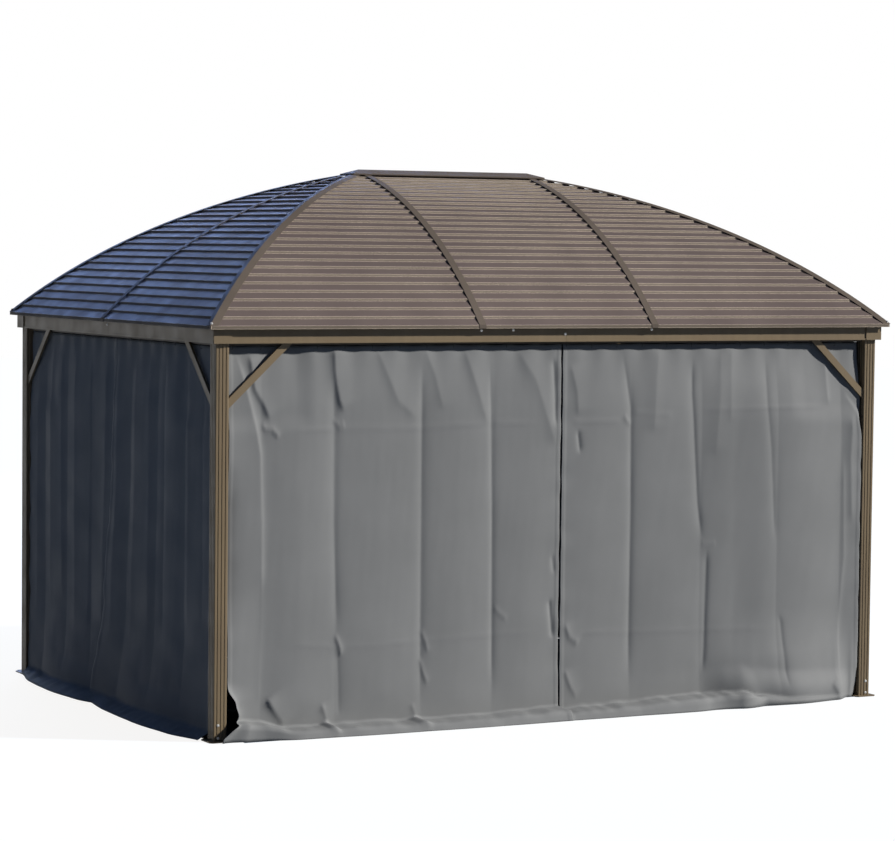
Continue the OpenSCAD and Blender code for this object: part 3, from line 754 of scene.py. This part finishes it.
for name, c in curtains.items():
    side = name.split("_")[0]
    points, weave = shapeCurtain(c, curtainSet["foldGain"][side], *curtainSet["steps"][side])
    start = Vector(c["start"]) + Vector(c["out"]) * curtainSet["forward"]
    piece = cloth(name.replace("curtain", "drape"), points, weave, start, c["along"], c["out"])
    piece.data.materials.append(curtainCloth)
    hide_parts(name)
    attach(piece, "root")
    c["piece"] = piece
print("curtains hung:", len(curtains))


# rings between the rail and the header tape

ringSet = {"radius": 0.0105, "wire": 0.0011, "below": 0.0115, "inset": 0.02, "around": 14, "sides": 6}


def tubeRing(mesh, centre, axis, c):
    axis = Vector(axis).normalized()
    first = axis.orthogonal().normalized()
    second = axis.cross(first)
    around, sides = c["around"], c["sides"]
    grid = []
    for i in range(around):
        a = 2 * math.pi * i / around
        spoke = first * math.cos(a) + second * math.sin(a)
        loop = []
        for j in range(sides):
            b = 2 * math.pi * j / sides
            outward = spoke * (c["radius"] + c["wire"] * math.cos(b))
            loop.append(mesh.verts.new(Vector(centre) + outward + axis * c["wire"] * math.sin(b)))
        grid.append(loop)
    for i in range(around):
        for j in range(sides):
            a, b = grid[i], grid[(i + 1) % around]
            mesh.faces.new((a[j], b[j], b[(j + 1) % sides], a[(j + 1) % sides])).smooth = True


def finishPiece(name, mesh, material):
    data = bpy.data.meshes.new(name)
    bmesh.ops.recalc_face_normals(mesh, faces=mesh.faces)
    mesh.to_mesh(data)
    mesh.free()
    data.materials.append(material)
    piece = bpy.data.objects.new(name, data)
    bpy.context.scene.collection.objects.link(piece)
    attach(piece, "root")
    return piece


for name, c in curtains.items():
    mesh = bmesh.new()
    count = round(c["width"] / curtainSet["hookPitch"])
    start, along = Vector(c["start"]), Vector(c["along"])
    for i in range(count + 1):
        spot = start + along * (ringSet["inset"] + (c["width"] - 2 * ringSet["inset"]) * i / count)
        spot.z = railLow - ringSet["below"]
        tubeRing(mesh, spot, c["along"], ringSet)
    c["rings"] = finishPiece(name.replace("curtain", "rings"), mesh, railMetal)

print("rings on the rails")


# hex roofing screws, set on the surface that a line from outside meets

screwSet = {
    "washer": 0.0075, "washerHigh": 0.0014, "flange": 0.0058, "hex": 0.0044, "high": 0.0052,
    "sides": 18, "sunk": 0.0004, "step": 0.0003, "hexFoot": 1.06, "chamfer": 0.0005, "hexTop": 0.86,
    # place along each beam, and height over its foot
    "front": [(-0.529, 0.063), (0.545, 0.065), (-0.333, 0.065), (-0.008, 0.042)],
    "back": [(-0.540, 0.063), (0.545, 0.065), (0.022, 0.041)],
    "left": [(0.022, 0.058)],
    "right": [(-0.022, 0.058)],
    "postAside": 0.012, "postUp": (0.020, 0.087), "eaveInset": (0.015, 0.012),
    "away": 3, "above": 4,            # where the lines start
}
screws = []    # part to hit, start of the line, its direction
away = screwSet["away"]
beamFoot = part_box("front_beam")[0][2]
for side, sy in (("front", -1), ("back", 1)):
    for x, up in screwSet[side]:
        screws.append((side + "_beam", (x, away * sy, beamFoot + up), (0, -sy, 0)))
for side, sx in (("left", -1), ("right", 1)):
    for y, up in screwSet[side]:
        screws.append((side + "_beam", (away * sx, y, beamFoot + up), (-sx, 0, 0)))
for side, sy in (("front", -1), ("back", 1)):
    for end, sx in (("left", -1), ("right", 1)):
        corner = side + "_" + end
        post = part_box(corner + "_post")
        x = (post[0][0] + post[1][0]) / 2 + screwSet["postAside"] * sx
        for up in screwSet["postUp"]:
            screws.append((corner + "_post", (x, away * sy, up), (0, -sy, 0)))
        x, y = (edge - inset for edge, inset in zip(cadHigh, screwSet["eaveInset"]))
        screws.append((corner + "_hip_cover", (x * sx, y * sy, screwSet["above"]), (0, 0, -1)))


# washer, flange and chamfered head, as loops from the surface up
def addScrew(mesh, spot, normal, c):
    turn = Vector(normal).to_track_quat("Z", "Y").to_matrix().to_4x4()
    base = Matrix.Translation(spot) @ turn
    sides = c["sides"]
    rings = []
    for radius, high, hexagon in (
        (c["washer"], -c["sunk"], False),
        (c["washer"], c["washerHigh"], False),
        (c["flange"], c["washerHigh"] + c["step"], False),
        (c["hex"] * c["hexFoot"], c["washerHigh"] + 2 * c["step"], True),
        (c["hex"], c["high"] - c["chamfer"], True),
        (c["hex"] * c["hexTop"], c["high"], True),
    ):
        loop = []
        for i in range(sides):
            a = 2 * math.pi * i / sides
            r = radius
            if hexagon:
                r = radius * math.cos(math.pi / 6) / math.cos((a % (math.pi / 3)) - math.pi / 6)
            loop.append(mesh.verts.new(base @ Vector((r * math.cos(a), r * math.sin(a), high))))
        rings.append(loop)
    for low, up in zip(rings, rings[1:]):
        for i in range(sides):
            j = (i + 1) % sides
            mesh.faces.new((low[i], low[j], up[j], up[i]))
    mesh.faces.new(rings[-1])
    mesh.faces.new(list(reversed(rings[0])))


screwMesh = bmesh.new()
placed = 0
for part, start, direction in screws:
    hit, spot, normal, _ = nodes[part].ray_cast(Vector(start), Vector(direction))
    if hit:
        addScrew(screwMesh, spot, normal, screwSet)
        placed += 1
    else:
        print("no surface for screw", part, start)
finishPiece("roof_screws", screwMesh, zinc)
print("screws set:", placed)


# floor, background and light

stageSet = {
    "floorHalf": 60.0, "floorRough": 0.9, "floorMottle": 0.6, "floorStops": (0.3, 0.7),
    "floorPaint": (0.104, 0.134, 0.178), "floorSpread": (0.99, 1.01),
    "floorGlow": (1.0, 0.988, 0.968), "floorLift": 0.908,
    # dark ground, where the floor's glow is left off: painted shade inside the curtains, and under the
    # hem that stands off the near post
    "shadedGround": [
        ((leftX - 0.03, rightX + 0.03), (frontY - 0.04, backY + 0.125)),
        ((0.06 - longEnd, 0.80 - longEnd), (frontY - 0.115, frontY)),
    ],
    "wallRadius": 50.0, "wallHigh": 9.5, "wallSides": 96,
    "sun": 5.1, "sunAngle": 3.0, "sunFrom": (1.6, -1.0, 1.0), "sunColour": (1.0, 0.975, 0.94),
    "sky": (0.034, 0.058, 0.122), "lampAim": (0, 0, 2),
    "panel": 1070.0, "panelColour": (0.31, 0.49, 1.0),
    "panelPlace": (3.2, 16, 7.6), "panelSize": (11.5, 7.0),
    "fill": 1500.0, "fillColour": (0.92, 0.96, 1.0),
    "fillPlace": (1.5, 13, 8.5), "fillSize": (6.0, 4.0),
}


# values are sockets or plain numbers
def mathNode(nodeSet, links, operation, *values):
    node = nodeSet.new("ShaderNodeMath")
    node.operation = operation
    for socket, value in zip(node.inputs, values):
        if isinstance(value, bpy.types.NodeSocket):
            links.new(value, socket)
        else:
            socket.default_value = value
    return node.outputs[0]


# 1 for the camera and for what it sees in gloss or through glass, 0 for other light
def seenDirectly(nodeSet, links):
    path = nodeSet.new("ShaderNodeLightPath").outputs
    first = mathNode(nodeSet, links, "MAXIMUM", path["Is Camera Ray"], path["Is Glossy Ray"])
    return mathNode(nodeSet, links, "MAXIMUM", first, path["Is Transmission Ray"])


# 0 on the ground of a room, 1 outside it
def roomEdge(nodeSet, links, coords, room):
    split = nodeSet.new("ShaderNodeSeparateXYZ")
    links.new(coords, split.inputs[0])
    beyond = []
    for axis, (low, high) in zip("XY", room):
        fromMiddle = mathNode(nodeSet, links, "SUBTRACT", split.outputs[axis], (low + high) / 2)
        size = mathNode(nodeSet, links, "ABSOLUTE", fromMiddle)
        beyond.append(mathNode(nodeSet, links, "GREATER_THAN", size, (high - low) / 2))
    return mathNode(nodeSet, links, "MAXIMUM", *beyond)


def makeFloor(c):
    half = c["floorHalf"]
    corners = [(-half, -half, 0), (half, -half, 0), (half, half, 0), (-half, half, 0)]
    mesh = bpy.data.meshes.new("floor")
    mesh.from_pydata(corners, [], [(0, 1, 2, 3)])
    floor = bpy.data.objects.new("floor", mesh)
    bpy.context.scene.collection.objects.link(floor)
    mat, nodeSet, links, shader = startMaterial("pale floor")
    shader.inputs["Roughness"].default_value = c["floorRough"]
    shader.inputs["Specular IOR Level"].default_value = 0.0
    coords = nodeSet.new("ShaderNodeTexCoord").outputs["Object"]
    mottle = noiseNode(nodeSet, links, coords, c["floorMottle"])
    shades = [[v * share for v in c["floorPaint"]] for share in c["floorSpread"]]
    colour = rampNode(nodeSet, links, mottle, zip(c["floorStops"], shades))
    links.new(colour, shader.inputs["Base Color"])
    glow = seenDirectly(nodeSet, links)
    # the glow is left off in the shaded rectangles: painted shade
    for room in c["shadedGround"]:
        glow = mathNode(nodeSet, links, "MULTIPLY", glow, roomEdge(nodeSet, links, coords, room))
    lift = mathNode(nodeSet, links, "MULTIPLY", glow, c["floorLift"])
    shader.inputs["Emission Color"].default_value = (*c["floorGlow"], 1)
    links.new(lift, shader.inputs["Emission Strength"])
    mesh.materials.append(mat)
    return floor


# low white wall all round the floor
def makeWall(c):
    sides = c["wallSides"]
    spots = []
    for high in (0, c["wallHigh"]):
        for i in range(sides):
            a = 2 * math.pi * i / sides
            spots.append((c["wallRadius"] * math.cos(a), c["wallRadius"] * math.sin(a), high))
    faces = [((i + 1) % sides, i, sides + i, sides + (i + 1) % sides) for i in range(sides)]
    mesh = bpy.data.meshes.new("white wall")
    mesh.from_pydata(spots, [], faces)
    wall = bpy.data.objects.new("white wall", mesh)
    bpy.context.scene.collection.objects.link(wall)
    mat, nodeSet, links, shader = startMaterial("white wall")
    shader.inputs["Base Color"].default_value = (0, 0, 0, 1)
    shader.inputs["Specular IOR Level"].default_value = 0.0
    shader.inputs["Emission Color"].default_value = (1, 1, 1, 1)
    links.new(seenDirectly(nodeSet, links), shader.inputs["Emission Strength"])
    mesh.materials.append(mat)
    wall.visible_shadow = False
    return wall


def softLamp(name, place, aim, size, power, colour):
    data = bpy.data.lights.new(name, "AREA")
    data.shape = "RECTANGLE"
    data.size, data.size_y = size
    data.energy, data.color = power, colour
    lamp = bpy.data.objects.new(name, data)
    lamp.location = place
    lamp.rotation_euler = (Vector(place) - Vector(aim)).to_track_quat("Z", "Y").to_euler()
    lamp.visible_camera = False
    bpy.context.scene.collection.objects.link(lamp)
    return lamp


def makeLight(c):
    world = bpy.data.worlds.new("studio")
    world.use_nodes = True
    bpy.context.scene.world = world
    world.node_tree.nodes["Background"].inputs["Color"].default_value = (*c["sky"], 1)

    data = bpy.data.lights.new("key sun", "SUN")
    data.energy, data.angle, data.color = c["sun"], math.radians(c["sunAngle"]), c["sunColour"]
    sun = bpy.data.objects.new("key sun", data)
    sun.rotation_euler = Vector(c["sunFrom"]).to_track_quat("Z", "Y").to_euler()
    bpy.context.scene.collection.objects.link(sun)

    aim = c["lampAim"]
    panel = softLamp("sky panel", c["panelPlace"], aim, c["panelSize"], c["panel"], c["panelColour"])
    panel.visible_diffuse = False    # only seen in the shine of the paint
    fill = softLamp("back fill", c["fillPlace"], aim, c["fillSize"], c["fill"], c["fillColour"])
    fill.visible_glossy = False


makeFloor(stageSet)
makeWall(stageSet)
makeLight(stageSet)

view = bpy.context.scene.view_settings
view.view_transform = "Standard"
print("floor and light ready")
